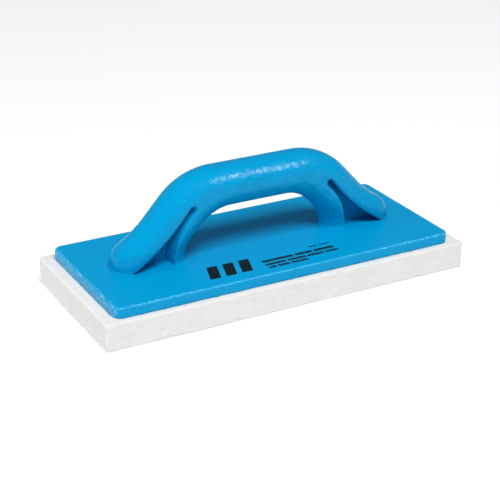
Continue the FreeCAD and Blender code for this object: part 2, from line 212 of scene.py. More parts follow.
out = Vector((math.sin(LEG_SLOPE), 0, math.cos(LEG_SLOPE)))
down = Vector((math.cos(LEG_SLOPE), 0, -math.sin(LEG_SLOPE)))
shoulder_centre = Vector((TOP_FLAT, 0, arch_top - SHOULDER_RADIUS))
shoulder_end = shoulder_centre + out * SHOULDER_RADIUS
to_toe = TOE_CENTRE - shoulder_end
reach = INSTEP_RADIUS + TOE_RADIUS
before_toe = math.sqrt(reach ** 2 - (INSTEP_RADIUS - to_toe.dot(out)) ** 2)
slope_end = shoulder_end + down * (to_toe.dot(down) - before_toe)
instep_centre = slope_end + out * INSTEP_RADIUS
toe_start = TOE_CENTRE + (instep_centre - TOE_CENTRE) * (TOE_RADIUS / reach)
window_centre = Vector((FOOT_INNER - WINDOW_RADIUS, 0, CEILING - WINDOW_RADIUS))

GRIP_STEPS, SHOULDER_STEPS, SLOPE_STEPS, INSTEP_STEPS, TOE_STEPS, WALL_STEPS = 6, 16, 5, 8, 14, 2
WINDOW_BREAK = 32.0     # degrees left on the window's arc where the shoulder ends
leg_steps = SLOPE_STEPS + INSTEP_STEPS + TOE_STEPS
crown = Vector((0, 0, arch_top))
outer = [crown] + line(crown, Vector((TOP_FLAT, 0, arch_top)), GRIP_STEPS)
outer += arc(shoulder_centre, SHOULDER_RADIUS, 90, heading(shoulder_centre, shoulder_end),
             SHOULDER_STEPS)
outer += line(shoulder_end, slope_end, SLOPE_STEPS)
outer += arc(instep_centre, INSTEP_RADIUS, heading(instep_centre, slope_end),
             heading(instep_centre, toe_start), INSTEP_STEPS)
outer += arc(TOE_CENTRE, TOE_RADIUS, heading(TOE_CENTRE, toe_start), 0, TOE_STEPS)
outer += line(outer[-1], Vector((TOE_END, 0, FOOT_START)), WALL_STEPS)
keel = Vector((0, 0, CEILING))
inner = [keel] + line(keel, Vector((window_centre.x, 0, CEILING)), GRIP_STEPS)
inner += arc(window_centre, WINDOW_RADIUS, 90, WINDOW_BREAK, SHOULDER_STEPS)
inner += arc(window_centre, WINDOW_RADIUS, WINDOW_BREAK, 0, leg_steps)
inner += line(inner[-1], Vector((FOOT_INNER, 0, FOOT_START)), WALL_STEPS)
arch_slices = list(zip(outer, inner))
slope_run = (slope_end - shoulder_end).length
print("arch slices:", len(arch_slices), "slope runs", round(slope_run / MM, 1), "mm")

# %% [markdown]
# ## The handle, step 2: a ribbon turned into a bar
# One edge of a plane is extruded along the arch. Each time it is moved, turned and resized
# until it spans from the window to the top of the arch. The flat ribbon then gets its
# thickness, and its long edges get a bevel almost as wide as half the bar, which leaves the
# soft, nearly round section that sits well in a hand. Only the right half is drawn, because
# a mirror makes the left one and keeps both the same.

# %% Extrude the ribbon
def lay_edge(old, new):
    """Move, turn and resize the selected edge from one pair of points to another."""
    centre = (new[0] + new[1]) / 2
    was, span = old[0] - old[1], new[0] - new[1]
    turn = math.atan2(span.z, span.x) - math.atan2(was.z, was.x)
    bpy.ops.transform.translate(value=centre - (old[0] + old[1]) / 2)
    bpy.ops.transform.rotate(value=turn, orient_axis="Y", center_override=centre)
    share = span.length / was.length
    bpy.ops.transform.resize(value=(share, share, share), center_override=centre)


def ribbon(name, slices):
    """A flat strip in the plane y = 0 through slices, pairs of points that it spans between."""
    piece = start(bpy.ops.mesh.primitive_plane_add, name, size=MM, rotation=(math.pi / 2, 0, 0))
    edge = (Vector((0.5 * MM, 0, 0.5 * MM)), Vector((0.5 * MM, 0, -0.5 * MM)))
    edit(piece)
    pick(piece, "VERT", lambda vert: vert.co.x < 0)
    bpy.ops.mesh.delete(type="VERT")
    bpy.ops.mesh.select_all(action="SELECT")
    for step, pair in enumerate(slices):
        if step:
            bpy.ops.mesh.extrude_edges_move()
        lay_edge(edge, pair)
        edge = pair
    leave_edit()
    corners = [point for pair in slices for point in pair]
    missed = max(min((vert.co - point).length for vert in piece.data.vertices) for point in corners)
    print(name, "ribbon:", len(piece.data.polygons), "faces, off by", round(missed / MM, 5), "mm")
    return piece


handle = ribbon("bridge_handle", arch_slices)


def give_depth(piece, near, far):
    """Turn a flat ribbon into a bar from y = near to y = far."""
    edit(piece)
    bpy.ops.mesh.select_all(action="SELECT")
    bpy.ops.transform.translate(value=(0, near, 0))
    bpy.ops.mesh.extrude_region_move(TRANSFORM_OT_translate={"value": (0, far - near, 0)})
    leave_edit()
    tidy_normals(piece)


NEARLY = 0.01 * MM      # two places closer than this count as one
give_depth(handle, -HALF_THICK, HALF_THICK)
edit(handle)
pick(handle, "FACE", lambda face: all(vert.co.x < NEARLY for vert in face.verts)
     or all(vert.co.z < FOOT_START + NEARLY for vert in face.verts))
bpy.ops.mesh.delete(type="FACE")


def is_long_edge(edge):
    """An edge between a flat side of the bar and the wall round it."""
    if len(edge.link_faces) != 2:
        return False
    sideways = sorted(abs(face.normal.y) for face in edge.link_faces)
    return sideways[0] < 0.1 and sideways[1] > 0.9


long_edges = pick(handle, "EDGE", is_long_edge)
bpy.ops.mesh.bevel(offset=GRIP_ROUNDING, segments=14, profile=0.5, clamp_overlap=False)
leave_edit()
print("long edges rounded:", long_edges, "faces:", len(handle.data.polygons))

# %% [markdown]
# ## The handle, step 3: feet
# Near the plate the inner leg isn't as round as the grip. Towards the window it narrows to
# a blunt nose, so that wet grout slides off it. A Displace modifier pushes those points
# along X by a weight painted in code. A small fillet then spreads each foot on the plate:
# its open rim is extruded down and outwards ring by ring, and closed under the plate's top.

# %% Narrow the inner leg and spread the feet
NOSE_SHIFT = 11.0 * MM      # the most that the leg's shoulders move back from the window
NOSE_SHARE = 0.4            # the middle of the nose moves this much of it
NOSE_HEIGHT = 30.0 * MM     # the change fades out this far above the plate
NOSE_REACH = 45.0 * MM      # and this far behind the window


def nose_weight(point):
    """How far a point on the window's side of the inner leg moves back, from 0 to 1."""
    across = abs(point.y) / HALF_THICK
    up = min(max((point.z - FOOT_START) / NOSE_HEIGHT, 0), 1)
    behind = min(max((point.x - FOOT_INNER - HALF_THICK) / (NOSE_REACH - HALF_THICK), 0), 1)
    fade = (1 - up) ** 2 * (1 + 2 * up) * (1 - behind)
    return (NOSE_SHARE + (1 - NOSE_SHARE) * across ** 2) * fade


group = handle.vertex_groups.new(name="nose")
for vert in handle.data.vertices:
    group.add([vert.index], nose_weight(vert.co), "REPLACE")
apply_modifier(handle, "DISPLACE", direction="X", mid_level=0.0, strength=NOSE_SHIFT,
               vertex_group="nose")

FILLET = 1.2 * MM           # its last 0.3 mm lie under the plate's top
FILLET_TURNS = (0, 25, 50, 75, 90)
ROOT_DEPTH = 1.2 * MM       # the foot goes on this far under its fillet
foot_centre = Vector(((FOOT_INNER + TOE_END) / 2, 0, FOOT_START))
half_foot = Vector(((TOE_END - FOOT_INNER) / 2, HALF_THICK, 1))
edit(handle)
pick(handle, "EDGE", lambda edge: edge.is_boundary and middle(edge).z < FOOT_START + NEARLY)
for before, turn in zip(FILLET_TURNS, FILLET_TURNS[1:]):
    spread = [FILLET * (1 - math.cos(math.radians(angle))) for angle in (before, turn)]
    drop = [FILLET * math.sin(math.radians(angle)) for angle in (before, turn)]
    grow = [(half_foot[axis] + spread[1]) / (half_foot[axis] + spread[0]) for axis in (0, 1)]
    bpy.ops.mesh.extrude_edges_move(TRANSFORM_OT_translate={"value": (0, 0, drop[0] - drop[1])})
    bpy.ops.transform.resize(value=(*grow, 1), center_override=foot_centre)
bpy.ops.mesh.extrude_edges_move(TRANSFORM_OT_translate={"value": (0, 0, -ROOT_DEPTH)})
bpy.ops.mesh.edge_face_add()
leave_edit()
apply_modifier(handle, "MIRROR", use_axis=(True, False, False), use_clip=True,
               merge_threshold=NEARLY)
tidy_normals(handle)
print("whole arch:", len(handle.data.polygons), "faces")

# %% [markdown]
# ## The handle, step 4: pockets between the legs
# Each pair of legs has a pocket on the front and one on the back, with a thin web left
# between them. In the mould they are formed by slides, so they taper a little towards the
# web. Each is cut with a tapered block. The block is a ribbon too: it follows the back of
# the inner leg on one side and the hollow underside of the outer leg on the other.

# %% Cut the pockets
LEG_THICK = 17.2 * MM
LEG_BACK = WINDOW_RADIUS + LEG_THICK    # radius of the inner leg's back
SLIT = 5.4 * MM                         # width of the pocket's narrow end
SLIT_ANGLE = 49.0                       # where the narrow end stands on the leg's curve
SLIT_ROUNDING = (8, 30, 55, 90)         # degrees round the narrow end, from its tip to its sides
HOLLOW_RADIUS = 160.0 * MM
POCKET_TIP = Vector((107.0 * MM, 0, plate_top))
POCKET_FLOOR = plate_top - 1.0 * MM
HALF_WEB = 1.5 * MM
TAPER = 0.91                            # size of the pocket at the web
POCKET_STEPS, FLOOR_STEPS = 18, 3

slit_out = Vector((math.cos(math.radians(SLIT_ANGLE)), 0, math.sin(math.radians(SLIT_ANGLE))))
slit_up = Vector((-slit_out.z, 0, slit_out.x))
slit_centre = window_centre + slit_out * (LEG_BACK + SLIT / 2)
slit_far = slit_centre + slit_out * SLIT / 2
chord = POCKET_TIP - slit_far
bow = math.sqrt(HOLLOW_RADIUS ** 2 - (chord.length / 2) ** 2)
hollow_centre = (slit_far + POCKET_TIP) / 2 + Vector((-chord.z, 0, chord.x)).normalized() * bow
pocket_slices = []
for angle in SLIT_ROUNDING:
    lift = slit_up * math.cos(math.radians(angle)) * SLIT / 2
    side = slit_out * math.sin(math.radians(angle)) * SLIT / 2
    pocket_slices.append((slit_centre + lift + side, slit_centre + lift - side))
upper = arc(hollow_centre, HOLLOW_RADIUS, heading(hollow_centre, slit_far),
            heading(hollow_centre, POCKET_TIP), POCKET_STEPS)
lower = arc(window_centre, LEG_BACK, SLIT_ANGLE, 0, POCKET_STEPS)
run_out = (upper[-1] - upper[-2]).normalized()
run_out *= (POCKET_FLOOR - plate_top) / run_out.z
upper += line(upper[-1], upper[-1] + run_out, FLOOR_STEPS)
lower += line(lower[-1], Vector((lower[-1].x, 0, POCKET_FLOOR)), FLOOR_STEPS)
pocket_slices += list(zip(upper, lower))

POCKET_CLEAR = 3.0 * MM     # the block stands out this far, so that the cut runs clean through
POCKET_MOUTH = -HALF_THICK - POCKET_CLEAR
pocket = ribbon("pocket", pocket_slices)
give_depth(pocket, POCKET_MOUTH, -HALF_WEB)
edit(pocket)
pick(pocket, "VERT", lambda vert: vert.co.y > -HALF_WEB - NEARLY)
bpy.ops.transform.resize(value=(TAPER, 1, TAPER),
                         center_override=Vector((POCKET_TIP.x, -HALF_WEB, POCKET_FLOOR)))
leave_edit()
apply_modifier(pocket, "MIRROR", use_axis=(True, True, False), use_mirror_merge=False)
tidy_normals(pocket)
apply_modifier(handle, "BOOLEAN", object=pocket, operation="DIFFERENCE", solver="EXACT")
bpy.data.objects.remove(pocket)
print("arch with pockets:", len(handle.data.polygons), "faces")

# %% [markdown]
# ## The handle, step 5: soft edges, then crisp soles
# Polymer never fills a sharp corner, so every rim of a pocket is a little round. A voxel
# remesh rebuilds the skin from even squares under a millimetre wide, and a Smooth modifier
# relaxes it, which rounds all rims at once. A bevel would need a clean row of faces along
# each cut, and a cut through a rounded bar has none. The soles have to lie flush in the
# plate, so they are added after that, with their edges left crisp.

# %% Soften the handle and add its soles
SKIN_CELL = 0.9 * MM
CREASE = math.radians(50)
apply_modifier(handle, "REMESH", mode="VOXEL", voxel_size=SKIN_CELL)
apply_modifier(handle, "SMOOTH", factor=0.5, iterations=3)
print("skin:", triangles(handle), "triangles")


def sole_blocks(name, clearance, top):
    """The block that each pair of legs stands on, right and left, grown by a clearance."""
    low = Vector((FOOT_INNER - SOLE_REACH - clearance, handle_low.y - clearance, handle_low.z))
    high = Vector((handle_high.x + clearance, handle_high.y + clearance, top))
    block = cube_between(name, low, high)
    edit(block)
    pick(block, "EDGE", is_upright)
    bpy.ops.mesh.bevel(offset=GRIP_ROUNDING + SOLE_REACH, segments=16)
    leave_edit()
    apply_modifier(block, "MIRROR", use_axis=(True, False, False), use_mirror_merge=False)
    tidy_normals(block)
    return block


soles = sole_blocks("soles", 0.0, plate_top)
apply_modifier(handle, "BOOLEAN", object=soles, operation="UNION", solver="EXACT")
bpy.data.objects.remove(soles)
tidy_normals(handle)


def smooth(piece):
    """Shade a piece smooth, except over its creases."""
    bpy.ops.object.select_all(action="DESELECT")
    piece.select_set(True)
    bpy.context.view_layer.objects.active = piece
    bpy.ops.object.shade_smooth_by_angle(angle=CREASE)
    print(piece.name + ":", triangles(piece), "triangles, box",
          [round(side / MM, 2) for side in piece.dimensions], "mm")


smooth(handle)
apply_modifier(handle, "WEIGHTED_NORMAL", keep_sharp=True)

# %% [markdown]
# ## The plate
# The plate is a flat moulding with round corners, a rim that is soft to the touch and two
# shallow recesses that the handle's soles are bonded into. It starts as a cube of the
# plate's size. Bevels round its upright corners and its rims. The same blocks that made the
# soles, a hair larger, cut the recesses. A Weighted Normal modifier then keeps the large
# top flat in the light right up to its bevels.

# %% Model the plate
PLATE_CORNER = 7.0 * MM
PLATE_RIM = 1.8 * MM
PLATE_FOOT_RIM = 0.25 * MM
SOLE_FIT = 0.02 * MM        # clearance all round a sole


def bevel_rim(piece, height, offset, segments):
    """Round the level edges that lie at a height."""
    pick(piece, "EDGE", lambda edge: all(abs(vert.co.z - height) < NEARLY for vert in edge.verts))
    bpy.ops.mesh.bevel(offset=offset, segments=segments)


plate = cube_between("moulded_plate", plate_low, plate_high)
edit(plate)
pick(plate, "EDGE", is_upright)
bpy.ops.mesh.bevel(offset=PLATE_CORNER, segments=14)
bevel_rim(plate, plate_high.z, PLATE_RIM, 6)
bevel_rim(plate, plate_low.z, PLATE_FOOT_RIM, 3)
leave_edit()
recesses = sole_blocks("recesses", SOLE_FIT, plate_top + MM)
apply_modifier(plate, "BOOLEAN", object=recesses, operation="DIFFERENCE", solver="EXACT")
bpy.data.objects.remove(recesses)
tidy_normals(plate)
smooth(plate)
apply_modifier(plate, "WEIGHTED_NORMAL", keep_sharp=True)

# %% [markdown]
# ## The sponge
# The float's working part is a block of open-cell foam, cut from a larger one with a hot
# wire. It is stiff and full, so no cloth simulation is needed: it doesn't sag or crease.
# What it does have is an edge that is never quite straight and a face that is never quite
# flat. The block is remeshed into small squares, and three Displace modifiers push them: a
# slow swell from the wire's wandering, a lumpy one from the cells, and torn cells that stand
# up along the edges. Points that stand out past the block's true size are picked and resized
# flat onto its sides again, so that the float stands level and fits its frame.

# %% Model the sponge
sponge_low, sponge_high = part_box("sponge_pad")
FOAM_CELL = 1.15 * MM
FOAM_CORNER = 2.5 * MM
FOAM_EDGE = 0.8 * MM
FOAM_INSET = 0.45 * MM      # room for the swell inside the block's true size
FOAM_TOP_INSET = 0.1 * MM   # less room under the plate, so that no dark gap opens there
FOAM_SWELLS = ((45.0 * MM, 0.5 * MM), (6.0 * MM, 0.16 * MM), (1.7 * MM, 1.0 * MM))


def clouds(name, size):
    """A procedural texture of soft lumps, for a Displace modifier."""
    texture = bpy.data.textures.new(name, "CLOUDS")
    texture.noise_scale = size
    texture.noise_depth = 1
    return texture


low_inset = Vector((FOAM_INSET, FOAM_INSET, FOAM_INSET))
high_inset = Vector((FOAM_INSET, FOAM_INSET, FOAM_TOP_INSET))
sponge = cube_between("sponge_block", sponge_low + low_inset, sponge_high - high_inset)
edit(sponge)
pick(sponge, "EDGE", is_upright)
bpy.ops.mesh.bevel(offset=FOAM_CORNER, segments=6)
pick(sponge, "EDGE", lambda edge: abs(edge.verts[0].co.z - edge.verts[1].co.z) < NEARLY
     and abs(edge.link_faces[0].normal.z - edge.link_faces[1].normal.z) > 0.5)
bpy.ops.mesh.bevel(offset=FOAM_EDGE, segments=3)
leave_edit()
apply_modifier(sponge, "REMESH", mode="VOXEL", voxel_size=FOAM_CELL)
for step, (size, height) in enumerate(FOAM_SWELLS):
    apply_modifier(sponge, "DISPLACE", texture=clouds("foam lumps %d" % step, size),
                   texture_coords="LOCAL", strength=height, mid_level=0.5)
edit(sponge)
for axis in range(3):
    flat = [0 if other == axis else 1 for other in range(3)]
    for side, outward in ((sponge_low, -1), (sponge_high, 1)):
        pressed = pick(sponge, "VERT", lambda vert: outward * (vert.co[axis] - side[axis]) > 0)
        bpy.ops.transform.resize(value=flat, center_override=side)
        print("pressed flat on", "XYZ"[axis], outward, "side:", pressed, "points")
leave_edit()
sponge.data.shade_smooth()
print("sponge:", triangles(sponge), "triangles, box",
      [round(side / MM, 2) for side in sponge.dimensions], "mm")

# %% [markdown]
# ## What the new pieces stand for
# The handle, the plate and the sponge take the places of their plain CAD solids. The glue film and
# the two prints are already right, so those CAD nodes stay. Nothing moves on a float, so the three
# new pieces ride on the one body, root.

# %% Ride on the body
for piece, node, finish in ((handle, "handle", "moulded_blue"),
                            (plate, "backing_plate", "moulded_blue"),
                            (sponge, "sponge_pad", "foam_white")):
    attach(piece, "root")
    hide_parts(node)
print("replaced:", [piece.name for piece in (handle, plate, sponge)])

# %% [markdown]
# ## Helpers for materials
# A material is a graph of nodes. These helpers add a node, feed it with a number or with
# another node's output, and build the few small steps that every finish below uses: soft
# noise, a cell pattern, a stretched value and a mix of two colours. Sizes are given in
# metres, because Object coordinates on a finished piece are metres of the real object.

# %% Node helpers
def add(tree, kind, **settings):
    node = tree.nodes.new("ShaderNode" + kind)
    for key, setting in settings.items():
        setattr(node, key, setting)
    return node


def feed(tree, socket, source):
    """Link a socket to another node's output, or give it a value."""
    if isinstance(source, bpy.types.NodeSocket):
        tree.links.new(source, socket)
    else:
        socket.default_value = source


def sums(tree, operation, first, second):
    """One step of arithmetic."""
    node = add(tree, "Math", operation=operation)
    feed(tree, node.inputs[0], first)
    feed(tree, node.inputs[1], second)
    return node.outputs[0]


def noise(tree, position, size, detail=2.0):
    """Soft random shades from 0 to 1, with lumps about size metres wide."""
    node = add(tree, "TexNoise")
    feed(tree, node.inputs["Vector"], position)
    feed(tree, node.inputs["Scale"], sums(tree, "DIVIDE", 1.0, size))
    feed(tree, node.inputs["Detail"], detail)
    return node.outputs["Fac"]


def cells(tree, position, size):
    """Distance from the nearest cell's middle, where cells are about size metres wide."""
    node = add(tree, "TexVoronoi")
    feed(tree, node.inputs["Vector"], position)
    feed(tree, node.inputs["Scale"], sums(tree, "DIVIDE", 1.0, size))
    return node.outputs["Distance"]


def stretch(tree, value, low, high, to_low=0.0, to_high=1.0):
    """Bring low..high to to_low..to_high and stop at its ends."""
    node = add(tree, "MapRange")
    for socket, source in zip(node.inputs, (value, low, high, to_low, to_high)):
        feed(tree, socket, source)
    return node.outputs["Result"]


def mix(tree, share, first, second):
    """Mix two colours."""
    node = add(tree, "Mix", data_type="RGBA")
    for index, source in zip((0, 6, 7), (share, first, second)):
        feed(tree, node.inputs[index], source)
    return node.outputs[2]


def scale_colour(tree, colour, factor):
    node = add(tree, "VectorMath", operation="SCALE")
    feed(tree, node.inputs[0], colour)
    feed(tree, node.inputs["Scale"], factor)
    return node.outputs[0]


def new_group(name, inputs, outputs):
    """A node group with named sockets, all fed by name."""
    tree = bpy.data.node_groups.new(name, "ShaderNodeTree")
    for socket, kind in inputs.items():
        tree.interface.new_socket(socket, in_out="INPUT", socket_type="NodeSocket" + kind)
    for socket, kind in outputs.items():
        tree.interface.new_socket(socket, in_out="OUTPUT", socket_type="NodeSocket" + kind)
    given = tree.nodes.new("NodeGroupInput")
    result = tree.nodes.new("NodeGroupOutput")
    return tree, given.outputs, result.inputs


def new_material(name, group, values, bump_depth, shader_values):
    """A material whose changing colour, roughness and height come from a group."""
    material = bpy.data.materials.new(name)
    material.use_nodes = True
    tree = material.node_tree
    shader = tree.nodes["Principled BSDF"]
    finish = add(tree, "Group", node_tree=group)
    feed(tree, finish.inputs["Position"], add(tree, "TexCoord").outputs["Object"])
    for socket, value in values.items():
        feed(tree, finish.inputs[socket], value)
    feed(tree, shader.inputs["Base Color"], finish.outputs["Colour"])
    feed(tree, shader.inputs["Roughness"], finish.outputs["Roughness"])
    bump = add(tree, "Bump")
    bump.inputs["Distance"].default_value = bump_depth
    feed(tree, bump.inputs["Height"], finish.outputs["Height"])
    feed(tree, shader.inputs["Normal"], bump.outputs["Normal"])
    for socket, value in shader_values.items():
        shader.inputs[socket].default_value = value
    return material


# %% [markdown]
# ## The moulded skin
# The handle and the plate are the same tough polymer from two moulds. Its colour drifts by
# a few percent where the melt flowed, and its skin is a fine satin grain. In the middle of
# thick places gas leaves small pits, which is what breaks up the light on top of the grip.
# The rims get a paler blue, which is partly wear from handling and partly a painted highlight along
# the rims. One group makes all of this, and each material sets its own amounts.

# %% Group for the moulded skin
FLOW_SIZE = 30.0 * MM       # how wide the drifts of colour are
SWELL_SIZE = 7.0 * MM       # slow unevenness of the skin
CLUSTER_SIZE = 5.0 * MM     # patches where pits gather
HIGHLIGHT_AND_SCUFF_BREAK_SIZE = 1.4 * MM
PIT_SHARE = 0.9             # a pit's cell against the grain's size
PIT_DEPTH = 0.7             # these two against the grain's height
SWELL_HEIGHT = 2.5
GRAIN_SHADE = 0.12          # how much the grain changes the colour


def make_moulded_skin():
    tree, given, result = new_group(
        "moulded_skin",
        {"Position": "Vector", "Colour": "Color", "Highlight And Scuff Colour": "Color", "Drift": "Float",
         "Grain Size": "Float", "Gloss": "Float", "Pitting": "Float", "Highlight And Scuffing": "Float"},
        {"Colour": "Color", "Roughness": "Float", "Height": "Float"})
    place, grain_size = given["Position"], given["Grain Size"]
    flow = noise(tree, place, FLOW_SIZE, 3.0)
    grain = noise(tree, place, grain_size, 3.0)
    swell = noise(tree, place, SWELL_SIZE, 1.0)
    pit_place = cells(tree, place, sums(tree, "MULTIPLY", grain_size, PIT_SHARE))
    clusters = stretch(tree, noise(tree, place, CLUSTER_SIZE), 0.42, 0.58)
    pits = sums(tree, "MULTIPLY", stretch(tree, pit_place, 0.34, 0.16), clusters)
    pits = sums(tree, "MULTIPLY", pits, given["Pitting"])
    # paler patches mixed in where the next input says; on the plate's rims they are partly wear and
    # partly a painted highlight
    highlight_and_scuff_breaks = stretch(tree, noise(tree, place, HIGHLIGHT_AND_SCUFF_BREAK_SIZE, 4.0), 0.50, 0.66)
    highlight_and_scuffs = sums(tree, "MULTIPLY", highlight_and_scuff_breaks, given["Highlight And Scuffing"])
    shade = sums(tree, "MULTIPLY", sums(tree, "SUBTRACT", flow, 0.5), given["Drift"])
    speckle = sums(tree, "MULTIPLY", sums(tree, "SUBTRACT", grain, 0.5), GRAIN_SHADE)
    shade = sums(tree, "ADD", shade, speckle)
    base = scale_colour(tree, given["Colour"], sums(tree, "ADD", 1.0, shade))
    feed(tree, result["Colour"], mix(tree, highlight_and_scuffs, base, given["Highlight And Scuff Colour"]))
    rough = sums(tree, "ADD", given["Gloss"], stretch(tree, grain, 0.3, 0.7, -0.05, 0.08))
    rough = sums(tree, "ADD", rough, sums(tree, "MULTIPLY", pits, 0.2))
    feed(tree, result["Roughness"], sums(tree, "ADD", rough, sums(tree, "MULTIPLY", highlight_and_scuffs, 0.15)))
    height = sums(tree, "ADD", grain, sums(tree, "MULTIPLY", swell, SWELL_HEIGHT))
    height = sums(tree, "SUBTRACT", height, sums(tree, "MULTIPLY", pits, PIT_DEPTH))
    feed(tree, result["Height"], sums(tree, "SUBTRACT", height, highlight_and_scuffs))
    return tree


moulded_skin = make_moulded_skin()
print("moulded_skin:", len(moulded_skin.nodes), "nodes")

# %% [markdown]
# ## Blue polymer on the handle and the plate
# Both use the group. The handle's blue is set a little darker than the plate's, as painted shade.
# The handle has the stronger pits, because it is the thicker moulding.
# Where the pits and the paler rims lie differs: pits gather on the middle of the grip, and the
# paler blue lies on the plate's two short ends and along its long upper rims, most towards the
# ends. That paler blue is partly wear and partly a painted highlight. Masks made from the position
# say where.

# %% Materials of the blue mouldings
PLATE_BLUE = (0.0, 0.308, 0.61, 1.0)
# the handle's blue is the plate's blue made about 5 percent darker, which is painted shade
HANDLE_BLUE_WITH_PAINTED_SHADE = (0.0, 0.292, 0.575, 1.0)
# paler blue of the plate's rims: partly wear, partly a painted highlight
HIGHLIGHT_AND_SCUFF_BLUE = (0.20, 0.60, 0.82, 1.0)
SKIN_SHADER = {"Specular IOR Level": 0.12, "IOR": 1.5}


def distance_along(tree, axis):
    """How far a point is from the object's middle plane along X, Y or Z, in metres."""
    parts = add(tree, "SeparateXYZ")
    feed(tree, parts.inputs[0], add(tree, "TexCoord").outputs["Object"])
    return sums(tree, "ABSOLUTE", parts.outputs[axis], 0.0)


def skin_material(name, colour, grain_size, relief, gloss, drift, pitting=0.0):
    """The moulded skin with no paler rims yet; relief is the height of its grain in metres."""
    return new_material(name, moulded_skin,
                        {"Colour": colour, "Highlight And Scuff Colour": HIGHLIGHT_AND_SCUFF_BLUE, "Drift": drift,
                         "Grain Size": grain_size, "Gloss": gloss, "Pitting": pitting,
                         "Highlight And Scuffing": 0.0}, relief, SKIN_SHADER)


def finish_node(material):
    return next(node for node in material.node_tree.nodes if node.type == "GROUP")


handle_blue = skin_material("blue_handle", HANDLE_BLUE_WITH_PAINTED_SHADE, grain_size=2.0 * MM, relief=0.26 * MM,
                            gloss=0.24, drift=0.22)
tree = handle_blue.node_tree
GRIP_PITTED, PITS_FADED = 1.4 * TOP_FLAT, 2.6 * TOP_FLAT
grip_middle = stretch(tree, distance_along(tree, "X"), PITS_FADED, GRIP_PITTED, 0.25, 1.0)
feed(tree, finish_node(handle_blue).inputs["Pitting"], grip_middle)

plate_blue = skin_material("blue_plate", PLATE_BLUE, grain_size=1.1 * MM, relief=0.10 * MM,
                           gloss=0.30, drift=0.10, pitting=0.15)
tree = plate_blue.node_tree
# painted highlight and wear: a paler band on the plate's two ends and its long upper rims,
# strongest towards the ends
ends = stretch(tree, distance_along(tree, "X"), plate_high.x - 3.2 * MM, plate_high.x - 1.0 * MM)
sides = stretch(tree, distance_along(tree, "Y"), plate_high.y - 1.7 * MM, plate_high.y - 1.0 * MM)
tops = stretch(tree, distance_along(tree, "Z"), plate_high.z - 1.4 * MM, plate_high.z - 0.7 * MM)
corners = stretch(tree, distance_along(tree, "X"), 40.0 * MM, 120.0 * MM, 0.35, 1.0)
rims = sums(tree, "MULTIPLY", sums(tree, "MULTIPLY", sides, tops), corners)
feed(tree, finish_node(plate_blue).inputs["Highlight And Scuffing"], sums(tree, "MAXIMUM", ends, rims))

# %% [markdown]
# ## The sponge's foam
# Foam looks white from afar, and close up it is a web of cut cells less than a millimetre wide,
# with a larger one here and there. The cells are darker where one looks into them, which is painted
# shade, and bright on their walls. Two sizes of a cell pattern give that, and a slow noise adds the
# faint mottling of a block that was cut from a bun of foam.

# %% Group and material for the foam
COARSE_SHARE = 2.6          # width of the larger cells against the fine ones
RARE_SIZE = 3.5 * MM        # distance between patches that have larger cells
MOTTLE_SIZE = 12.0 * MM


def make_foam_cells():
    tree, given, result = new_group(
        "foam_cells",
        {"Position": "Vector", "Cell Size": "Float", "Tone": "Color", "Pore Shade": "Color"},
        {"Colour": "Color", "Roughness": "Float", "Height": "Float"})
    place, size = given["Position"], given["Cell Size"]
    fine = cells(tree, place, size)
    coarse = cells(tree, place, sums(tree, "MULTIPLY", size, COARSE_SHARE))
    rare = stretch(tree, noise(tree, place, RARE_SIZE), 0.50, 0.66)
    pores = sums(tree, "MULTIPLY", stretch(tree, coarse, 0.40, 0.10, 0.0, 0.8), rare)
    pores = sums(tree, "MAXIMUM", pores, stretch(tree, fine, 0.38, 0.05, 0.0, 0.55))
    mottle = noise(tree, place, MOTTLE_SIZE, 3.0)
    tone = scale_colour(tree, given["Tone"], stretch(tree, mottle, 0.3, 0.7, 0.975, 1.015))
    # the darker pore colour is painted shade inside the cells
    feed(tree, result["Colour"], mix(tree, pores, tone, given["Pore Shade"]))
    feed(tree, result["Roughness"], stretch(tree, mottle, 0.2, 0.8, 0.92, 1.0))
    feed(tree, result["Height"], sums(tree, "SUBTRACT", 1.0, pores))
    return tree


PORE_DEPTH = 0.18 * MM
foam_white = new_material("white_foam", make_foam_cells(),
                          {"Cell Size": 0.8 * MM, "Tone": (0.75, 0.75, 0.735, 1.0),
                           "Pore Shade": (0.60, 0.60, 0.60, 1.0)}, PORE_DEPTH,
                          {"Specular IOR Level": 0.1})
print("foam cells:", len(foam_white.node_tree.nodes), "nodes")

# %% [markdown]
# ## Glue film, print and floor
# The glue shows only as a thin milky line between foam and plate. The prints are a black ink
# laid on by a pad, so they are a little worn, and the blue shows through in specks. The
# floor is pale paper. Ink, glue and floor each need no more than a mottled pair of colours,
# so they share one group and differ in its values.

# %% Group and materials for glue, ink and floor
def make_mottled():
    tree, given, result = new_group(
        "mottled",
        {"Position": "Vector", "Tone": "Color", "Speck": "Color", "Speck Size": "Float",
         "Amount": "Float", "Gloss": "Float"},
        {"Colour": "Color", "Roughness": "Float", "Height": "Float"})
    lumps = noise(tree, given["Position"], given["Speck Size"], 4.0)
    least = sums(tree, "SUBTRACT", 0.72, sums(tree, "MULTIPLY", given["Amount"], 0.3))
    specks = stretch(tree, lumps, least, sums(tree, "ADD", least, 0.08))
    feed(tree, result["Colour"], mix(tree, specks, given["Tone"], given["Speck"]))
    feed(tree, result["Roughness"], sums(tree, "ADD", given["Gloss"],
                                         stretch(tree, lumps, 0.3, 0.7, -0.05, 0.05)))
    feed(tree, result["Height"], lumps)
    return tree


mottled = make_mottled()


def mottled_material(name, tone, speck, speck_size, amount, gloss, bump_depth):
    return new_material(name, mottled,
                        {"Tone": tone, "Speck": speck, "Speck Size": speck_size,
                         "Amount": amount, "Gloss": gloss}, bump_depth,
                        {"Specular IOR Level": 0.10})


